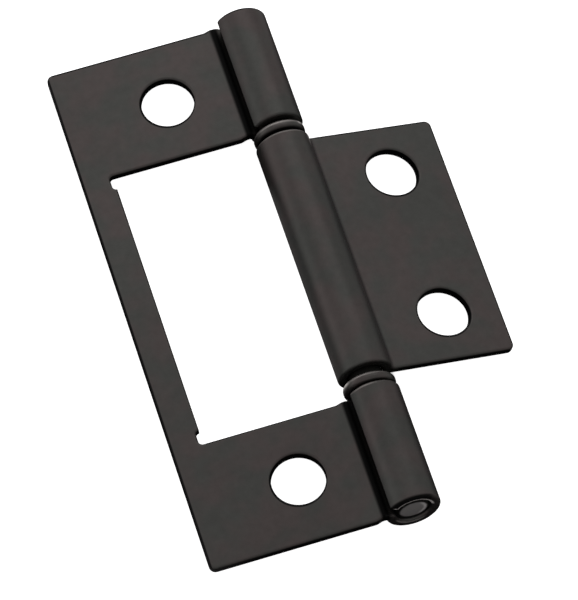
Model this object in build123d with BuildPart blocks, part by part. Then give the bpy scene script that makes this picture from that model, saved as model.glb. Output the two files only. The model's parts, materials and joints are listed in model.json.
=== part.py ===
# A surface mount hinge whose small leaf lies inside the window of the large one when it is closed.
# It lies open on a table: pin along Y, +Z up, barrel and both free edges on z = 0.
import os
from math import asin, atan2, cos, degrees, hypot, radians, sin, sqrt, tan

from build123d import *

# Sheet and pin
sheet_thickness = 1.3
edge_round = 0.35
pin_diameter = 4.6
pin_clearance = 0.08
pin_recess = 0.25
pin_end_round = 0.45

# Rolled knuckles
bend_inside_radius = 0.25
tip_angle = 31.5
tip_round = 0.3
round_limit = 0.45

# Lengths along the pin
hinge_height = 76.2
knuckle_length = 17.4
washer_thickness = 1.35
end_play = 2.45
inner_leaf_slide = 0.35

# The outer leaf is rolled a little askew: its arms shift along the pin by the bend and its knuckles lean
knuckle_shift = 0.25
knuckle_lean = 3.3
skew_start = 0.35
skew_length = 0.8
skew_round = 1.2

# Lengths across the pin
inner_leaf_width = 21.15
window_clearance = 1.7
strip_width = 4.35
corner_radius = 0.9
relief_depth = 0.55
relief_height = 2.0

# Screw holes
hole_diameter = 7.1
outer_hole_from_pin = 12.75
outer_hole_from_end = 8.85
inner_hole_from_edge = 7.75
inner_hole_from_end = 7.12

# Washers: each leaves a share of the free play beside the outer knuckle next to it
washer_inset = 0.15
washer_clearance = 0.2
washer_round = 0.55
upper_washer_float = 0.51
lower_washer_float = 0.28
lower_washer_tilt = 3

# Sizes that follow from those above
half_sheet = sheet_thickness / 2
pin_radius = pin_diameter / 2
bore_radius = pin_radius + pin_clearance
barrel_radius = bore_radius + sheet_thickness
barrel_diameter = 2 * barrel_radius
curl_radius = bore_radius + half_sheet
bend_radius = bend_inside_radius + half_sheet
bend_start = sqrt(curl_radius**2 + 2 * curl_radius * bend_radius)
bend_angle = degrees(asin(bend_radius / (curl_radius + bend_radius)))
curl_sweep = 360 - tip_angle - bend_angle
window_height = hinge_height - 2 * knuckle_length
window_side = inner_leaf_width + window_clearance
outer_leaf_width = window_side + strip_width
inner_leaf_height = window_height - 2 * washer_thickness - end_play
outer_hole_spacing = hinge_height - 2 * outer_hole_from_end
inner_hole_from_pin = inner_leaf_width - inner_hole_from_edge
inner_hole_spacing = inner_leaf_height - 2 * inner_hole_from_end


# How far a leaf slopes down from the pin until the lower edge of its free end meets the table
def leaf_slope(leaf_width):
    return asin(barrel_radius / hypot(leaf_width, half_sheet)) - atan2(half_sheet, leaf_width)


# How far the rounded upper edge of a sloping leaf's free end reaches sideways from the pin
def leaf_reach(leaf_width, slope):
    return (leaf_width - edge_round) * cos(slope) + (half_sheet - edge_round) * sin(slope) + edge_round


outer_slope = leaf_slope(outer_leaf_width)
inner_slope = leaf_slope(inner_leaf_width)
pin_x = (leaf_reach(outer_leaf_width, outer_slope) - leaf_reach(inner_leaf_width, inner_slope)) / 2

# Along the pin the part is centred from the sheet's lower edge to the lean of the upper knuckle
knuckle_tilt = tan(radians(knuckle_lean))
sheet_y = -(knuckle_shift + knuckle_tilt * (barrel_radius - half_sheet)) / 2
knuckle_y = sheet_y + knuckle_shift
outer_centre = (pin_x, sheet_y, barrel_radius)
inner_centre = (pin_x, knuckle_y + inner_leaf_slide, barrel_radius)
pin_centre = (pin_x, knuckle_y, barrel_radius)

# Each leaf's own directions: from the pin to its free end, and out of its upper face
outer_run = (-cos(outer_slope), 0, -sin(outer_slope))
outer_up = (-sin(outer_slope), 0, cos(outer_slope))
inner_run = (cos(inner_slope), 0, -sin(inner_slope))
inner_up = (sin(inner_slope), 0, cos(inner_slope))
outer_lean = Vector(outer_up) + Vector(0, knuckle_tilt, 0)


# Side view of a leaf: a flat sheet, a tight bend to one side, and a curl back round the pin to a free tip
def leaf_section(centre, run, leaf_width):
    bend_centre = (bend_start, -bend_radius)
    tip = Vector(1, 0).rotate(Axis.Z, tip_angle)
    with BuildSketch(Plane(centre, run, (0, 1, 0))) as section:
        with BuildLine():
            Line((leaf_width, half_sheet), (bend_start, half_sheet))
            CenterArc(bend_centre, bend_radius + half_sheet, 90, 90 - bend_angle)
            CenterArc((0, 0), bore_radius, -bend_angle, -curl_sweep)
            Line(tip * bore_radius, tip * barrel_radius)
            CenterArc((0, 0), barrel_radius, tip_angle, curl_sweep)
            CenterArc(bend_centre, bend_inside_radius, 180 - bend_angle, bend_angle - 90)
            Line((bend_start, -half_sheet), (leaf_width, -half_sheet))
            Line((leaf_width, -half_sheet), (leaf_width, half_sheet))
        make_face()
        tip_corners = section.vertices().sort_by_distance(tip * curl_radius)[:2]
        fillet(tip_corners, radius=min(tip_round, round_limit * sheet_thickness))
    return section.sketch


# One edge across the outer leaf's outline, from beyond the barrel to its far end, with the skew by the bend
def skewed_edge(far_end, level):
    skew_from = bend_start + skew_start
    knuckle_level = level - knuckle_shift
    return [
        (-barrel_diameter, knuckle_level),
        (skew_from, knuckle_level),
        (skew_from + skew_length, level),
        (far_end, level),
    ]


# The edges round a leaf's flat upper face, without the seam where its bend begins
def front_outline(leaf, centre, run, up):
    front = leaf.faces().filter_by(Axis(centre, up)).sort_by(Axis(centre, up))[-1]
    seam = front.edges().group_by(Axis(centre, run))[0]
    return front.edges() - seam


# Outer leaf: one sheet with a window that opens towards the pin and a knuckle at each end
with BuildPart() as outer_leaf:
    extrude(leaf_section(outer_centre, outer_run, outer_leaf_width), hinge_height, both=True)
    with BuildSketch(Plane(outer_centre, outer_run, outer_up)) as outer_plan:
        with BuildLine():
            Polyline(
                *skewed_edge(outer_leaf_width, hinge_height / 2),
                *reversed(skewed_edge(outer_leaf_width, -hinge_height / 2)),
                *skewed_edge(window_side, -window_height / 2),
                *reversed(skewed_edge(window_side, window_height / 2)),
                close=True,
            )
        make_face()
        fillet(outer_plan.vertices().group_by(Axis.X)[-1], radius=corner_radius)
        skew_corners = outer_plan.vertices().group_by(Axis.X)[1:3]
        fillet(skew_corners[0] + skew_corners[1], radius=skew_round)
        with Locations((window_side, 0)):
            with GridLocations(0, window_height - relief_height, 1, 2):
                SlotOverall(relief_height, 2 * relief_depth, rotation=90, mode=Mode.SUBTRACT)
    extrude(amount=barrel_diameter, dir=outer_lean, both=True, mode=Mode.INTERSECT)
    with BuildSketch(Plane(outer_centre, outer_run, outer_up)):
        with Locations((outer_hole_from_pin, 0)):
            with GridLocations(0, outer_hole_spacing, 1, 2):
                Circle(hole_diameter / 2)
    extrude(amount=barrel_diameter, both=True, mode=Mode.SUBTRACT)
    fillet(front_outline(outer_leaf, outer_centre, outer_run, outer_up), radius=edge_round)

# Inner leaf: a smaller sheet with one long knuckle that curls the other way
with BuildPart() as inner_leaf:
    extrude(leaf_section(inner_centre, inner_run, inner_leaf_width), inner_leaf_height / 2, both=True)
    with BuildSketch(Plane(inner_centre, inner_run, inner_up)) as inner_plan:
        with Locations((inner_leaf_width, 0)):
            Rectangle(
                inner_leaf_width + barrel_diameter,
                inner_leaf_height,
                align=(Align.MAX, Align.CENTER),
            )
        fillet(inner_plan.vertices().group_by(Axis.X)[-1], radius=corner_radius)
        with Locations((inner_hole_from_pin, 0)):
            with GridLocations(0, inner_hole_spacing, 1, 2):
                Circle(hole_diameter / 2, mode=Mode.SUBTRACT)
    extrude(amount=barrel_diameter, both=True, mode=Mode.INTERSECT)
    fillet(front_outline(inner_leaf, inner_centre, inner_run, inner_up), radius=edge_round)

# Pin through all three knuckles, its rounded ends a little inside the barrel
with BuildPart() as hinge_pin:
    with BuildSketch(Plane(pin_centre, outer_run, (0, 1, 0))):
        Circle(pin_radius)
    extrude(amount=hinge_height / 2 - pin_recess, both=True)
    fillet(hinge_pin.edges().filter_by(GeomType.CIRCLE), radius=pin_end_round)

# Washers between the knuckles, loose on the pin: the lower one leans, its gap wider beside the outer leaf
upper_gap = upper_washer_float * (end_play / 2 - inner_leaf_slide)
lower_gap = lower_washer_float * (end_play / 2 + inner_leaf_slide)
outermost = (window_height - washer_thickness) / 2
washer_seats = {
    "upper_washer": (knuckle_y + outermost - upper_gap, 0),
    "lower_washer": (knuckle_y - outermost + lower_gap, lower_washer_tilt),
}
washers = {}
for name, (place, tilt) in washer_seats.items():
    seat = Plane((pin_x, place, barrel_radius), (-1, 0, 0), (0, 1, 0)).rotated((0, 0, -tilt))
    with BuildPart() as washer:
        with BuildSketch(seat):
            Circle(barrel_radius - washer_inset)
            Circle(pin_radius + washer_clearance, mode=Mode.SUBTRACT)
        extrude(amount=washer_thickness / 2, both=True)
        rims = washer.edges().filter_by(GeomType.CIRCLE).group_by(SortBy.RADIUS)[-1]
        fillet(rims, radius=min(washer_round, round_limit * washer_thickness))
    washers[name] = washer

os.makedirs("parts", exist_ok=True)
pieces = {"outer_leaf": outer_leaf, "inner_leaf": inner_leaf, "hinge_pin": hinge_pin, **washers}
for name, piece in pieces.items():
    piece.part.label = name
    export_step(piece.part, f"parts/{name}.step")
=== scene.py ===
import json
import math

import bpy
from mathutils import Matrix, Vector


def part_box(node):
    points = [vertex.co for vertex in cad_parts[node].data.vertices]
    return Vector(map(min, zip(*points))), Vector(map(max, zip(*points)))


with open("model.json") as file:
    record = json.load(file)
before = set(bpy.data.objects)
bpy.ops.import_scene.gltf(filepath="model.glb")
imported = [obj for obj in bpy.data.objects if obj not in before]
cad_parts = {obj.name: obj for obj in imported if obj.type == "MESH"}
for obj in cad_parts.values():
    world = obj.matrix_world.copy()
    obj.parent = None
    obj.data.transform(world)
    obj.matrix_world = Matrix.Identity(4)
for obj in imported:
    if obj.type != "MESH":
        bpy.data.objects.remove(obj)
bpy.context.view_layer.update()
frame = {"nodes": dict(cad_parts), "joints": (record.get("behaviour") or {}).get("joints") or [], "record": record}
nodes = frame["nodes"]
mounts = {mount["name"]: mount for mount in frame["record"]["mounts"]}
pinPlace = Vector(frame["joints"][0]["pos_m"])     # a point on the pin's axis, which runs along Y
pinAxis = Vector((0, 1, 0))
sideways = Vector((1, 0, 0))
upwards = Vector((0, 0, 1))
black = (0.0, 0.0, 0.0, 1.0)
far = 0.1                 # further than any piece reaches, for bands that are open at one end
rowStep = 200             # spacing of the rows in a material's node tree
bpy.ops.object.select_all(action="DESELECT")
print("frame loaded:", ", ".join(sorted(nodes)))


# small helpers for node trees

def addNode(tree, kind, place, **settings):
    node = tree.nodes.new(kind)
    node.location = place
    for name, value in settings.items():
        setattr(node, name, value)
    return node


def setInputs(node, values):
    for name, value in values.items():
        node.inputs[name].default_value = value


def addSockets(group, inputs, outputs):
    for name, kind in inputs:
        group.interface.new_socket(name=name, in_out="INPUT", socket_type="NodeSocket" + kind)
    for name, kind in outputs:
        group.interface.new_socket(name=name, in_out="OUTPUT", socket_type="NodeSocket" + kind)


# one number from two, such as the product of two masks
def combine(tree, operation, first, second, place, **settings):
    node = addNode(tree, "ShaderNodeMath", place, operation=operation, **settings)
    tree.links.new(first, node.inputs[0])
    tree.links.new(second, node.inputs[1])
    return node.outputs["Value"]


def nextRow(tree):
    return -rowStep * len(tree.nodes)


# mottled coat: brown and olive blotches a few millimetres wide, a slow drift in depth and gloss
# and a fine sprayed pebble

coatGroup = {
    "noises": {
        "drift": {"Scale": 45.0, "Detail": 2.0, "Roughness": 0.5},       # patches of about two centimetres
        "blotch": {"Scale": 240.0, "Detail": 1.5, "Roughness": 0.5},     # about four millimetres
        "speck": {"Scale": 900.0, "Detail": 3.0, "Roughness": 0.6},
        "pebble": {"Scale": 2600.0, "Detail": 2.0, "Roughness": 0.5},    # under half a millimetre
    },
    "noiseReach": (0.3, 0.7),     # most of what a noise gives lies between these
    "noiseMiddle": 0.5,
    "blotchEdge": (0.38, 0.62),
    "depths": {"drift": (0.92, 1.08), "speck": (0.94, 1.06)},
}


def makeCoatGroup():
    group = bpy.data.node_groups.new("mottledCoat", "ShaderNodeTree")
    addSockets(
        group,
        (("Warm", "Color"), ("Cool", "Color"), ("Gloss", "Float"), ("Gloss Change", "Float")),
        (("Color", "Color"), ("Roughness", "Float"), ("Height", "Float")),
    )
    inputs = addNode(group, "NodeGroupInput", (-900, 0))
    outputs = addNode(group, "NodeGroupOutput", (900, 0))
    coords = addNode(group, "ShaderNodeTexCoord", (-900, -300))
    noises = {}
    for name, settings in coatGroup["noises"].items():
        noise = addNode(group, "ShaderNodeTexNoise", (-650, nextRow(group)))
        setInputs(noise, settings)
        group.links.new(coords.outputs["Object"], noise.inputs["Vector"])
        noises[name] = noise.outputs["Fac"]
    share = addNode(group, "ShaderNodeMapRange", (-400, 50))
    setInputs(share, {"From Min": coatGroup["blotchEdge"][0], "From Max": coatGroup["blotchEdge"][1]})
    group.links.new(noises["blotch"], share.inputs["Value"])
    tone = addNode(group, "ShaderNodeMix", (-150, 50), data_type="RGBA")
    group.links.new(share.outputs["Result"], tone.inputs["Factor"])
    group.links.new(inputs.outputs["Cool"], tone.inputs["A"])
    group.links.new(inputs.outputs["Warm"], tone.inputs["B"])
    color = tone.outputs["Result"]
    least, most = coatGroup["noiseReach"]
    for name, (thin, thick) in coatGroup["depths"].items():
        depth = addNode(group, "ShaderNodeMapRange", (-400, nextRow(group)))
        setInputs(depth, {"From Min": least, "From Max": most, "To Min": thin, "To Max": thick})
        group.links.new(noises[name], depth.inputs["Value"])
        shade = addNode(group, "ShaderNodeVectorMath", (150, nextRow(group)), operation="SCALE")
        group.links.new(color, shade.inputs["Vector"])
        group.links.new(depth.outputs["Result"], shade.inputs["Scale"])
        color = shade.outputs["Vector"]
    centred = addNode(group, "ShaderNodeMath", (-400, -450), operation="SUBTRACT")
    centred.inputs[1].default_value = coatGroup["noiseMiddle"]
    group.links.new(noises["drift"], centred.inputs[0])
    rough = addNode(group, "ShaderNodeMath", (150, -450), operation="MULTIPLY_ADD")
    group.links.new(centred.outputs["Value"], rough.inputs[0])
    group.links.new(inputs.outputs["Gloss Change"], rough.inputs[1])
    group.links.new(inputs.outputs["Gloss"], rough.inputs[2])
    group.links.new(color, outputs.inputs["Color"])
    group.links.new(rough.outputs["Value"], outputs.inputs["Roughness"])
    group.links.new(noises["pebble"], outputs.inputs["Height"])
    return group


# place on the hinge: distance from the pin's axis, along it, out along a leaf, and up from the leaf's middle

def makePlaceGroup():
    group = bpy.data.node_groups.new("hingePlace", "ShaderNodeTree")
    addSockets(
        group,
        (("Out", "Vector"), ("Up", "Vector")),
        (("Radius", "Float"), ("Along", "Float"), ("Run", "Float"), ("Rise", "Float")),
    )
    inputs = addNode(group, "NodeGroupInput", (-900, 0))
    outputs = addNode(group, "NodeGroupOutput", (300, 0))
    coords = addNode(group, "ShaderNodeTexCoord", (-900, -300))
    fromPin = addNode(group, "ShaderNodeVectorMath", (-650, -300), operation="SUBTRACT")
    fromPin.inputs[1].default_value = pinPlace
    group.links.new(coords.outputs["Object"], fromPin.inputs[0])
    across = addNode(group, "ShaderNodeVectorMath", (-400, -300), operation="MULTIPLY")
    across.inputs[1].default_value = sideways + upwards
    group.links.new(fromPin.outputs["Vector"], across.inputs[0])
    radius = addNode(group, "ShaderNodeVectorMath", (-150, -300), operation="LENGTH")
    group.links.new(across.outputs["Vector"], radius.inputs[0])
    group.links.new(radius.outputs["Value"], outputs.inputs["Radius"])
    along = addNode(group, "ShaderNodeVectorMath", (-150, -100), operation="DOT_PRODUCT")
    along.inputs[1].default_value = pinAxis
    group.links.new(fromPin.outputs["Vector"], along.inputs[0])
    group.links.new(along.outputs["Value"], outputs.inputs["Along"])
    for direction, result in (("Out", "Run"), ("Up", "Rise")):
        reach = addNode(group, "ShaderNodeVectorMath", (-150, nextRow(group)), operation="DOT_PRODUCT")
        group.links.new(fromPin.outputs["Vector"], reach.inputs[0])
        group.links.new(inputs.outputs[direction], reach.inputs[1])
        group.links.new(reach.outputs["Value"], outputs.inputs[result])
    return group


# place round a screw hole: distance from an axis through it

def makeHoleGroup():
    group = bpy.data.node_groups.new("holePlace", "ShaderNodeTree")
    addSockets(group, (("Centre", "Vector"), ("Axis", "Vector")), (("Reach", "Float"),))
    inputs = addNode(group, "NodeGroupInput", (-900, 0))
    outputs = addNode(group, "NodeGroupOutput", (300, 0))
    coords = addNode(group, "ShaderNodeTexCoord", (-900, -300))
    fromCentre = addNode(group, "ShaderNodeVectorMath", (-650, -150), operation="SUBTRACT")
    group.links.new(coords.outputs["Object"], fromCentre.inputs[0])
    group.links.new(inputs.outputs["Centre"], fromCentre.inputs[1])
    across = addNode(group, "ShaderNodeVectorMath", (-400, 0), operation="CROSS_PRODUCT")
    group.links.new(fromCentre.outputs["Vector"], across.inputs[0])
    group.links.new(inputs.outputs["Axis"], across.inputs[1])
    reach = addNode(group, "ShaderNodeVectorMath", (-150, 0), operation="LENGTH")
    group.links.new(across.outputs["Vector"], reach.inputs[0])
    group.links.new(reach.outputs["Value"], outputs.inputs["Reach"])
    return group


# soft band: 1 between two distances and 0 outside them, fading over a soft edge

def makeBandGroup():
    group = bpy.data.node_groups.new("softBand", "ShaderNodeTree")
    addSockets(
        group,
        (("Value", "Float"), ("Low", "Float"), ("High", "Float"), ("Soft", "Float")),
        (("Mask", "Float"),),
    )
    inputs = addNode(group, "NodeGroupInput", (-900, 0))
    outputs = addNode(group, "NodeGroupOutput", (300, 0))
    sides = []
    for edge, (before, after) in (("Low", (0.0, 1.0)), ("High", (1.0, 0.0))):
        limits = [
            combine(group, operation, inputs.outputs[edge], inputs.outputs["Soft"], (-650, nextRow(group)))
            for operation in ("SUBTRACT", "ADD")
        ]
        side = addNode(group, "ShaderNodeMapRange", (-400, nextRow(group)), interpolation_type="SMOOTHSTEP")
        setInputs(side, {"To Min": before, "To Max": after})
        group.links.new(inputs.outputs["Value"], side.inputs["Value"])
        group.links.new(limits[0], side.inputs["From Min"])
        group.links.new(limits[1], side.inputs["From Max"])
        sides.append(side.outputs["Result"])
    group.links.new(combine(group, "MULTIPLY", *sides, (-150, 0)), outputs.inputs["Mask"])
    return group


mottledCoat = makeCoatGroup()
hingePlace = makePlaceGroup()
holePlace = makeHoleGroup()
softBand = makeBandGroup()
print("node groups made")


# what the coats are built from

def startCoat(name, coat):
    material = bpy.data.materials.new(name)
    material.use_nodes = True
    tree = material.node_tree
    surface = tree.nodes["Principled BSDF"]
    surface.inputs["Metallic"].default_value = coat["metal"]
    group = addNode(tree, "ShaderNodeGroup", (-900, 300), node_tree=mottledCoat)
    setInputs(group, {
        "Warm": coat["warm"],
        "Cool": coat["cool"],
        "Gloss": coat["gloss"],
        "Gloss Change": coat["glossChange"],
    })
    bump = addNode(tree, "ShaderNodeBump", (-300, -300))
    setInputs(bump, {"Strength": coat["bumpStrength"], "Distance": coat["bumpDistance"]})
    tree.links.new(group.outputs["Color"], surface.inputs["Base Color"])
    tree.links.new(group.outputs["Roughness"], surface.inputs["Roughness"])
    tree.links.new(group.outputs["Height"], bump.inputs["Height"])
    tree.links.new(bump.outputs["Normal"], surface.inputs["Normal"])
    return material


def addPlace(tree, out, up):
    place = addNode(tree, "ShaderNodeGroup", (-1500, nextRow(tree)), node_tree=hingePlace)
    setInputs(place, {"Out": out, "Up": up})
    return place


# a mask where every one of the given bands holds; a band is a measure, its limits and its softness
def addMask(tree, place, bands):
    mask = None
    for measure, low, high, soft in bands:
        band = addNode(tree, "ShaderNodeGroup", (-1200, nextRow(tree)), node_tree=softBand)
        setInputs(band, {"Low": low, "High": high, "Soft": soft})
        tree.links.new(place.outputs[measure], band.inputs["Value"])
        if mask is None:
            mask = band.outputs["Mask"]
        else:
            mask = combine(tree, "MULTIPLY", mask, band.outputs["Mask"], (-900, nextRow(tree)))
    return mask


# lays another tone over the coat where the mask is 1
def layTone(tree, mask, tone):
    surface = tree.nodes["Principled BSDF"]
    under = surface.inputs["Base Color"].links[0].from_socket
    mix = addNode(tree, "ShaderNodeMix", (-300, nextRow(tree)), data_type="RGBA")
    mix.inputs["B"].default_value = tone
    tree.links.new(mask, mix.inputs["Factor"])
    tree.links.new(under, mix.inputs["A"])
    tree.links.new(mix.outputs["Result"], surface.inputs["Base Color"])


# takes the metallic sheen away where the mask is 1
def dullMetal(tree, mask, metal):
    dull = addNode(tree, "ShaderNodeMapRange", (-300, 0))
    setInputs(dull, {"To Min": metal, "To Max": 0.0})
    tree.links.new(mask, dull.inputs["Value"])
    tree.links.new(dull.outputs["Result"], tree.nodes["Principled BSDF"].inputs["Metallic"])


# painted shade: a dark line on the near rim of a leaf's two screw holes
def darkenHoles(tree, mount, coat):
    spread = mount["dims"]["pcd_mm"] / 2000     # half the holes' spacing, in metres
    for shift in (-spread, spread):
        hole = addNode(tree, "ShaderNodeGroup", (-1500, nextRow(tree)), node_tree=holePlace)
        centre = Vector(mount["pos_m"]) + shift * pinAxis + Vector(coat["holeShift"])
        setInputs(hole, {"Centre": centre, "Axis": mount["axis"]})
        layTone(tree, addMask(tree, hole, coat["holeRim"]), coat["edgeShadeTone"])


def wear(material, name):
    nodes[name].data.materials.clear()
    nodes[name].data.materials.append(material)


# a leaf's own directions, from the screw mount that lies on its back
def leafDirections(mount):
    up = -Vector(mount["axis"])
    out = up.cross(pinAxis)
    side = Vector(mount["pos_m"]) - pinPlace
    return (out if out.dot(side) > 0 else -out), up


# what the coats of both leaves share; lengths are in metres, measured from the pin or, for Reach, from a hole

leafCoat = {
    "warm": (0.066, 0.0565, 0.055, 1.0),
    "cool": (0.0555, 0.056, 0.053, 1.0),
    "metal": 0.9,
    "gloss": 0.42,
    "glossChange": 0.14,
    "bumpStrength": 0.08,
    "bumpDistance": 0.00002,
    # painted shade: near black on the leaves' cut edges; the same tone darkens the knuckles' ends and the near
    # rims of the screw holes
    "edges": (("Run", 0.0046, far, 0.0004), ("Rise", -0.00062, 0.00045, 0.00005)),
    "edgeShadeTone": (0.004, 0.004, 0.004, 1.0),
    "holeRim": (("Reach", 0.0, 0.00375, 0.00005),),
    "holeShift": (-0.00011, -0.000225, 0.0),      # the rim is darkened on its near side only, a painted shade
    # painted highlight: the tone of a light line on a knuckle's rim
    "highlightTone": (0.17, 0.158, 0.152, 1.0),
}


# outer leaf: painted shade, black on its cut edges, on the knuckles' ends and in the narrow seam between the
# knuckles and the flat arms; painted highlights, light lines on the lower knuckle's inner rim, along its foot and
# round its free tip, and a light line on the rim by the lower washer

outerCoat = {
    **leafCoat,
    # painted shade: black in the narrow seam between the knuckles and the flat arms
    "seam": (("Run", 0.0032, 0.00425, 0.00025), ("Rise", -0.0005, far, 0.0002)),
    "seamShadeTone": black,
    # painted shade: near-black lines on the upper, free and window edges and on both ends of the knuckles
    "upperEdge": (("Along", 0.03752, far, 0.00008), ("Run", 0.0046, far, 0.0004)),
    "freeEdge": (("Run", 0.0269, far, 0.00008),),
    "windowEdge": (("Along", -0.0212, -0.0206, 0.00008), ("Run", 0.0046, 0.0226, 0.0004)),
    "upperEnd": (("Along", 0.03795, far, 0.00008), ("Radius", -far, 0.0038, 0.0001)),
    "rollEnd": (
        ("Along", -far, -0.0377, 0.00015),
        ("Radius", -far, 0.0038, 0.0001),
        ("Run", -0.0026, far, 0.0006),
        ("Rise", 0.0003, far, 0.0003),
    ),
    # painted highlights: light lines on the lower knuckle's inner rim, along its foot and round its free tip
    "innerRimHighlight": (
        ("Radius", 0.0022, 0.0028, 0.0001),
        ("Along", -far, -0.0378, 0.0001),
        ("Rise", 0.0005, far, 0.0003),
    ),
    "footHighlight": (
        ("Radius", 0.0026, 0.00275, 0.00012),
        ("Along", -far, -0.0377, 0.0001),
        ("Run", -0.0012, 0.0024, 0.0006),
        ("Rise", -far, -0.0012, 0.0004),
    ),
    # painted highlight along the foot, dimmer than the others
    "footHighlightTone": (0.15, 0.14, 0.135, 1.0),
    "tipAngle": 31.5,         # where the roll ends, in degrees up from the leaf
    "tipHighlight": (
        ("Run", 0.0024, 0.0033, 0.0002),
        ("Rise", -0.0002, 0.0004, 0.0001),
        ("Along", -far, -0.0378, 0.0001),
    ),
    # tone of the painted highlights, which are kept matt
    "brightHighlightTone": (0.55, 0.52, 0.51, 1.0),
    # painted highlight on the lower knuckle's rim by the lower washer
    "highlightRim": (
        ("Radius", -far, 0.0038, 0.0001),
        ("Along", -0.0209, -0.02, 0.0001),
        ("Run", 0.0, far, 0.001),
    ),
}


def coatOuterLeaf():
    mount = mounts["outer_leaf_screws"]
    out, up = leafDirections(mount)
    material = startCoat("outerLeafCoat", outerCoat)
    tree = material.node_tree
    place = addPlace(tree, out, up)
    # painted shade in the seam
    layTone(tree, addMask(tree, place, outerCoat["seam"]), outerCoat["seamShadeTone"])
    # painted shade on the cut edges and the knuckles' ends
    for dark in ("edges", "upperEdge", "freeEdge", "windowEdge", "upperEnd", "rollEnd"):
        layTone(tree, addMask(tree, place, outerCoat[dark]), outerCoat["edgeShadeTone"])
    # painted highlight on the rim by the lower washer
    layTone(tree, addMask(tree, place, outerCoat["highlightRim"]), outerCoat["highlightTone"])
    darkenHoles(tree, mount, outerCoat)
    turn = Matrix.Rotation(math.radians(outerCoat["tipAngle"]), 3, out.cross(up))
    tipPlace = addPlace(tree, turn @ out, turn @ up)
    # painted highlights on the inner rim, the tip and the foot, made matt so that they show
    bareAndHighlight = addMask(tree, place, outerCoat["innerRimHighlight"])
    tip = addMask(tree, tipPlace, outerCoat["tipHighlight"])
    foot = addMask(tree, place, outerCoat["footHighlight"])
    for more in (tip, foot):
        bareAndHighlight = combine(tree, "MAXIMUM", bareAndHighlight, more, (-600, nextRow(tree)))
    layTone(tree, bareAndHighlight, outerCoat["brightHighlightTone"])
    layTone(tree, foot, outerCoat["footHighlightTone"])
    dullMetal(tree, bareAndHighlight, outerCoat["metal"])
    wear(material, "outer_leaf")


# inner leaf: painted shade, black on its cut edges and a dark line where its long knuckle rolls off the flat;
# painted highlights, a light line on the rim beside the upper washer and a light spot on the roll below it

innerCoat = {
    **leafCoat,
    # painted shade: a dark line where the long knuckle rolls off the flat
    "seam": (("Run", 0.0035, 0.0039, 0.0003), ("Rise", 0.0, far, 0.0002)),
    "seamShadeTone": (0.012, 0.011, 0.011, 1.0),
    # painted shade: near-black lines on the upper and free edges
    "upperEdge": (("Along", 0.01815, far, 0.00008), ("Run", 0.0046, far, 0.0004)),
    "freeEdge": (("Run", 0.0209, far, 0.00008),),
    # painted highlight on the middle knuckle's rim beside the upper washer
    "highlightRim": (("Radius", -far, 0.0038, 0.0001), ("Along", 0.01815, far, 0.0001)),
    # painted highlight: a light spot on the roll below the upper washer
    "highlightSpot": (
        ("Run", 0.0029, 0.0034, 0.0004),
        ("Along", 0.017, 0.0185, 0.001),
        ("Rise", 0.0006, far, 0.0002),
    ),
    "highlightSpotTone": (0.42, 0.395, 0.385, 1.0),
}


def coatInnerLeaf():
    mount = mounts["inner_leaf_screws"]
    out, up = leafDirections(mount)
    material = startCoat("innerLeafCoat", innerCoat)
    tree = material.node_tree
    place = addPlace(tree, out, up)
    # painted shade along the crease
    layTone(tree, addMask(tree, place, innerCoat["seam"]), innerCoat["seamShadeTone"])
    # painted shade on the cut edges
    for dark in ("edges", "upperEdge", "freeEdge"):
        layTone(tree, addMask(tree, place, innerCoat[dark]), innerCoat["edgeShadeTone"])
    # painted highlight on the rim beside the upper washer
    layTone(tree, addMask(tree, place, innerCoat["highlightRim"]), innerCoat["highlightTone"])
    darkenHoles(tree, mount, innerCoat)
    # painted highlight spot, made matt so that it shows
    spot = addMask(tree, place, innerCoat["highlightSpot"])
    layTone(tree, spot, innerCoat["highlightSpotTone"])
    dullMetal(tree, spot, innerCoat["metal"])
    wear(material, "inner_leaf")


# pin: black in the knuckles and round the edge of its ends, a painted shade; grey where its two ends are bare;
# a painted highlight at one side of their rims

pinCoat = {
    # painted shade: the near-black tone stands for the shade in the knuckles and round the edge of the ends
    "warm": (0.012, 0.011, 0.010, 1.0),
    "cool": (0.009, 0.009, 0.008, 1.0),
    "metal": 0.9,
    "gloss": 0.5,
    "glossChange": 0.12,
    "bumpStrength": 0.08,
    "bumpDistance": 0.00002,
    "inside": (("Along", -0.0375, 0.0375, 0.0002),),
    "face": (("Radius", -far, 0.0018, 0.0002),),
    "endTone": (0.21, 0.2, 0.2, 1.0),
    # painted highlight at one side of the ends' rims
    "shine": (("Radius", 0.0014, 0.0019, 0.0002), ("Run", 0.0009, far, 0.0004)),
    "shineTone": (0.5, 0.48, 0.48, 1.0),
}


def coatPin():
    material = startCoat("pinCoat", pinCoat)
    tree = material.node_tree
    place = addPlace(tree, sideways, upwards)
    inside = addMask(tree, place, pinCoat["inside"])
    face = addMask(tree, place, pinCoat["face"])
    bareAndHighlight = combine(tree, "SUBTRACT", face, inside, (-600, nextRow(tree)), use_clamp=True)
    layTone(tree, bareAndHighlight, pinCoat["endTone"])
    dullMetal(tree, bareAndHighlight, pinCoat["metal"])
    # painted highlight on one side of the ends' rims
    side = addMask(tree, place, pinCoat["shine"])
    shine = combine(tree, "MULTIPLY", bareAndHighlight, side, (-600, nextRow(tree)))
    layTone(tree, shine, pinCoat["shineTone"])
    wear(material, "hinge_pin")


# washers: the leaves' dark coat, a little glossier, with a painted highlight along the upper rim and a brighter
# painted glint at one end of it, and painted shade, black, on the lower rim

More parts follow.
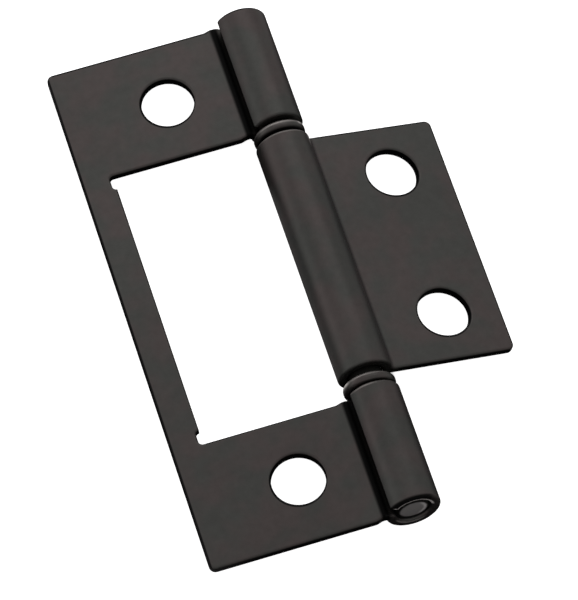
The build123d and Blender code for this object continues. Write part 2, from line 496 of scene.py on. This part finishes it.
washerCoat = {
    "warm": leafCoat["warm"],
    "cool": leafCoat["cool"],
    "metal": 0.9,
    "gloss": 0.34,
    "glossChange": 0.1,
    "bumpStrength": 0.05,
    "bumpDistance": 0.00002,
    "rimSoft": 0.00025,
    # painted highlight along the upper rim
    "highlightWidth": 0.00045,
    "highlightTone": (0.32, 0.3, 0.29, 1.0),
    # painted shade: black on the lower rim, by the gap to the knuckle
    "lowerShadeWidth": 0.0002,
    "lowerShadeTone": (0.004, 0.004, 0.004, 1.0),
    # painted glint at one end of the upper rim
    "glintWidth": 0.0006,
    "glintSides": {"upper_washer": (0.0024, far), "lower_washer": (-far, -0.003)},
    "brightHighlightTone": (0.6, 0.57, 0.55, 1.0),
}


def coatWasher(name):
    low, high = (corner[1] - pinPlace.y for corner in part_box(name))
    soft = washerCoat["rimSoft"]
    material = startCoat(name + "Coat", washerCoat)
    tree = material.node_tree
    place = addPlace(tree, sideways, upwards)
    # painted highlight along the upper rim
    upperHighlight = addMask(tree, place, (("Along", high - washerCoat["highlightWidth"], far, soft),))
    layTone(tree, upperHighlight, washerCoat["highlightTone"])
    # painted shade on the lower rim
    lowerShade = addMask(tree, place, (("Along", -far, low + washerCoat["lowerShadeWidth"], soft),))
    layTone(tree, lowerShade, washerCoat["lowerShadeTone"])
    # painted glint at one end of the upper rim, made matt so that it shows
    bareAndHighlight = addMask(tree, place, (
        ("Along", high - washerCoat["glintWidth"], far, soft),
        ("Run", *washerCoat["glintSides"][name], soft),
    ))
    layTone(tree, bareAndHighlight, washerCoat["brightHighlightTone"])
    dullMetal(tree, bareAndHighlight, washerCoat["metal"])
    wear(material, name)


coatOuterLeaf()
coatInnerLeaf()
coatPin()
coatWasher("upper_washer")
coatWasher("lower_washer")
print("coats on all pieces")


# pale floor under the hinge: white to the eye, but it throws little light back on the metal

floorPlan = {
    "size": 3.0,
    "drop": 0.0002,           # just clear of the metal
    "roughness": 0.9,
    "seenTone": (0.93, 0.93, 0.93, 1.0),
    "glow": 1.0,
    "nearTone": (0.04, 0.04, 0.04, 1.0),    # what it throws back close to the hinge, and further off
    "farTone": (0.8, 0.8, 0.8, 1.0),
    "nearReach": (0.034, 0.05),
    "nearFade": (0.9, 1.2),   # from near to far, in shares of that reach
    "window": (("Run", -0.0205, -0.0045, 0.0015), ("Along", -0.0195, 0.0145, 0.0015)),
    "windowTone": 0.5,        # the paper in the leaf's window, as a share of the far tone
    "shade": (("Run", -0.0012, 0.0044, 0.0006), ("Along", -0.0172, 0.0172, 0.0006)),
    "shadeTone": black,       # under the middle knuckle
}


def makeFloor():
    bpy.ops.mesh.primitive_plane_add(size=floorPlan["size"], location=(0, 0, -floorPlan["drop"]))
    floor = bpy.context.object
    floor.name = "paleFloor"
    bpy.ops.object.transform_apply(location=True, rotation=True, scale=True)
    material = bpy.data.materials.new("palePaper")
    material.use_nodes = True
    tree = material.node_tree
    seen = tree.nodes["Principled BSDF"]
    setInputs(seen, {
        "Base Color": floorPlan["seenTone"],
        "Roughness": floorPlan["roughness"],
        "Specular IOR Level": 0.0,
        "Emission Strength": floorPlan["glow"],
    })

    # the light it throws back
    coords = addNode(tree, "ShaderNodeTexCoord", (-1200, -300))
    reach = addNode(tree, "ShaderNodeVectorMath", (-900, -500), operation="DIVIDE")
    reach.inputs[1].default_value = (*floorPlan["nearReach"], 1.0)
    tree.links.new(coords.outputs["Object"], reach.inputs[0])
    away = addNode(tree, "ShaderNodeVectorMath", (-700, -500), operation="LENGTH")
    tree.links.new(reach.outputs["Vector"], away.inputs[0])
    fade = addNode(tree, "ShaderNodeMapRange", (-500, -500), interpolation_type="SMOOTHSTEP")
    setInputs(fade, {"From Min": floorPlan["nearFade"][0], "From Max": floorPlan["nearFade"][1]})
    tree.links.new(away.outputs["Value"], fade.inputs["Value"])
    place = addPlace(tree, sideways, upwards)
    lit = addNode(tree, "ShaderNodeMath", (-350, -700), operation="MULTIPLY_ADD")
    lit.inputs[1].default_value = floorPlan["windowTone"]
    tree.links.new(addMask(tree, place, floorPlan["window"]), lit.inputs[0])
    tree.links.new(fade.outputs["Result"], lit.inputs[2])
    tone = addNode(tree, "ShaderNodeMix", (-250, -500), data_type="RGBA")
    setInputs(tone, {"A": floorPlan["nearTone"], "B": floorPlan["farTone"]})
    tree.links.new(lit.outputs["Value"], tone.inputs["Factor"])
    bounce = addNode(tree, "ShaderNodeBsdfDiffuse", (0, -500))
    tree.links.new(tone.outputs["Result"], bounce.inputs["Color"])

    # what the eye sees
    shade = addNode(tree, "ShaderNodeMix", (-300, 200), data_type="RGBA")
    setInputs(shade, {"A": floorPlan["seenTone"], "B": floorPlan["shadeTone"]})
    tree.links.new(addMask(tree, place, floorPlan["shade"]), shade.inputs["Factor"])
    tree.links.new(shade.outputs["Result"], seen.inputs["Emission Color"])
    path = addNode(tree, "ShaderNodeLightPath", (0, 500))
    mix = addNode(tree, "ShaderNodeMixShader", (400, 0))
    tree.links.new(path.outputs["Is Camera Ray"], mix.inputs["Fac"])
    tree.links.new(bounce.outputs["BSDF"], mix.inputs[1])
    tree.links.new(seen.outputs["BSDF"], mix.inputs[2])

    # seen through from underneath
    side = addNode(tree, "ShaderNodeNewGeometry", (400, 500))
    clear = addNode(tree, "ShaderNodeBsdfTransparent", (400, -300))
    sheet = addNode(tree, "ShaderNodeMixShader", (700, 0))
    tree.links.new(side.outputs["Backfacing"], sheet.inputs["Fac"])
    tree.links.new(mix.outputs["Shader"], sheet.inputs[1])
    tree.links.new(clear.outputs["BSDF"], sheet.inputs[2])
    tree.links.new(sheet.outputs["Shader"], tree.nodes["Material Output"].inputs["Surface"])
    floor.data.materials.append(material)


makeFloor()
print("floor laid")


# soft studio light: a wide glow overhead and behind, a box over the far end, a low panel on the left
# and a low strip behind that draws light lines on the far rims

lamps = {
    "backBox": {"place": (0.045, 0.2, 0.26), "aim": (0, 0.02, 0), "size": (0.3, 0.12), "power": 0.095},
    "leftPanel": {"place": (-0.7, 0.3, 0.2), "aim": (0, 0, 0), "size": (0.9, 0.3), "power": 0.5},
    "rearStrip": {"place": (0, 0.7, 0.4), "aim": (0, 0, 0), "size": (1.2, 0.12), "power": 0.8},
}
room = {
    "tone": (1.0, 0.98, 0.97, 1.0),
    "axis": (0.0, 0.6, 0.8),   # towards the middle of the glow
    "fadeFrom": -0.45,
    "fadeTo": 0.15,
    "dim": 0.02,
    "bright": 0.65,
}


def makeLamp(name, lamp):
    data = bpy.data.lights.new(name, "AREA")
    data.shape = "RECTANGLE"
    data.size, data.size_y = lamp["size"]
    data.energy = lamp["power"]
    holder = bpy.data.objects.new(name, data)
    bpy.context.scene.collection.objects.link(holder)
    holder.location = lamp["place"]
    aim = Vector(lamp["aim"]) - Vector(lamp["place"])
    holder.rotation_euler = aim.to_track_quat("-Z", "Y").to_euler()


def makeRoom():
    world = bpy.data.worlds.new("studioRoom")
    world.use_nodes = True
    tree = world.node_tree
    background = tree.nodes["Background"]
    background.inputs["Color"].default_value = room["tone"]
    coords = addNode(tree, "ShaderNodeTexCoord", (-800, 0))
    facing = addNode(tree, "ShaderNodeVectorMath", (-600, 0), operation="DOT_PRODUCT")
    facing.inputs[1].default_value = room["axis"]
    fade = addNode(tree, "ShaderNodeMapRange", (-400, 0), interpolation_type="SMOOTHSTEP")
    setInputs(fade, {
        "From Min": room["fadeFrom"],
        "From Max": room["fadeTo"],
        "To Min": room["dim"],
        "To Max": room["bright"],
    })
    tree.links.new(coords.outputs["Generated"], facing.inputs[0])
    tree.links.new(facing.outputs["Value"], fade.inputs["Value"])
    tree.links.new(fade.outputs["Result"], background.inputs["Strength"])
    bpy.context.scene.world = world


for name, lamp in lamps.items():
    makeLamp(name, lamp)
makeRoom()
print("lamps and room lit")


# camera: long lens from the front left, looking steeply down, turned a little on its own axis

viewer = {
    "azimuth": -25.803,
    "elevation": 60.191,
    "roll": 9.652,
    "distance": 0.6029,
    "target": (-0.002287, -0.0026004, 0.0),
    "lens": 285.56,
    "sensor": 36.0,
    "clip": (0.01, 10.0),
}


def makeViewer():
    azimuth = math.radians(viewer["azimuth"])
    tilt = math.radians(90 - viewer["elevation"])
    roll = math.radians(viewer["roll"])
    turn = Matrix.Rotation(azimuth, 4, "Z") @ Matrix.Rotation(tilt, 4, "X")
    back = turn.to_3x3() @ Vector((0, 0, viewer["distance"]))
    data = bpy.data.cameras.new("viewer")
    data.lens = viewer["lens"]
    data.sensor_fit = "HORIZONTAL"
    data.sensor_width = viewer["sensor"]
    data.clip_start, data.clip_end = viewer["clip"]
    camera = bpy.data.objects.new("viewer", data)
    bpy.context.scene.collection.objects.link(camera)
    place = Matrix.Translation(Vector(viewer["target"]) + back)
    camera.matrix_world = place @ turn @ Matrix.Rotation(roll, 4, "Z")
    bpy.context.scene.camera = camera


makeViewer()
bpy.context.scene.view_settings.view_transform = "Standard"
print("camera set")
